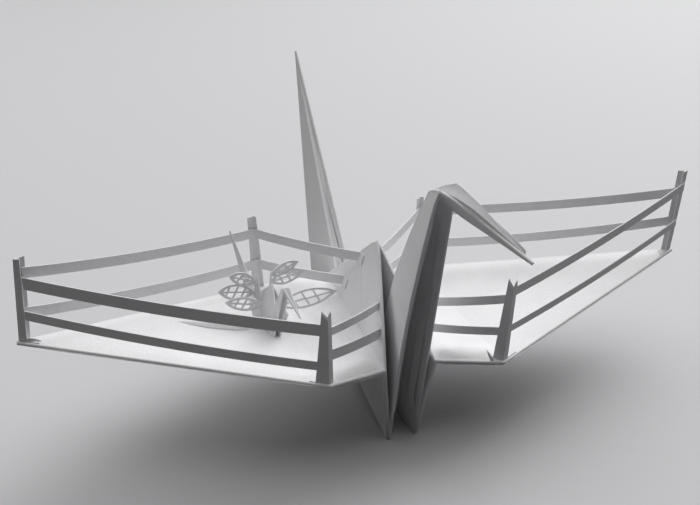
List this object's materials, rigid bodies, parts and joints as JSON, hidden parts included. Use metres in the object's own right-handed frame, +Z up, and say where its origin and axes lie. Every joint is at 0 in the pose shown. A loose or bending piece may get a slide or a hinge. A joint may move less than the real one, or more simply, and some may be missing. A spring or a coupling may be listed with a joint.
{
  "type": "origami crane",
  "caption": "Folded white paper crane, its head turned to its left, with a paper post-and-rail fence round each wing and a small pierced crane standing on the right wing.",
  "frame": {"origin": "on the table, under the middle of the whole crane's box", "axes": "+Z up, the head towards -Y, the crane's left wing towards +X"},
  "size_m": [0.1308, 0.0928, 0.0555],
  "materials": {
    "paper": "matte"
  },
  "bodies": {
    "root": {"folded_crane": "paper", "small_crane": "paper", "right_tip_post": "paper", "right_front_post": "paper", "right_back_post": "paper", "right_front_outer_upper_rail": "paper", "right_front_outer_lower_rail": "paper", "right_front_inner_upper_rail": "paper", "right_front_inner_lower_rail": "paper", "right_back_upper_rail": "paper", "right_back_lower_rail": "paper", "left_tip_post": "paper", "left_front_post": "paper", "left_back_post": "paper", "left_front_outer_upper_rail": "paper", "left_front_outer_lower_rail": "paper", "left_front_inner_upper_rail": "paper", "left_front_inner_lower_rail": "paper", "left_back_upper_rail": "paper", "left_back_lower_rail": "paper"}
  },
  "joints": []
}
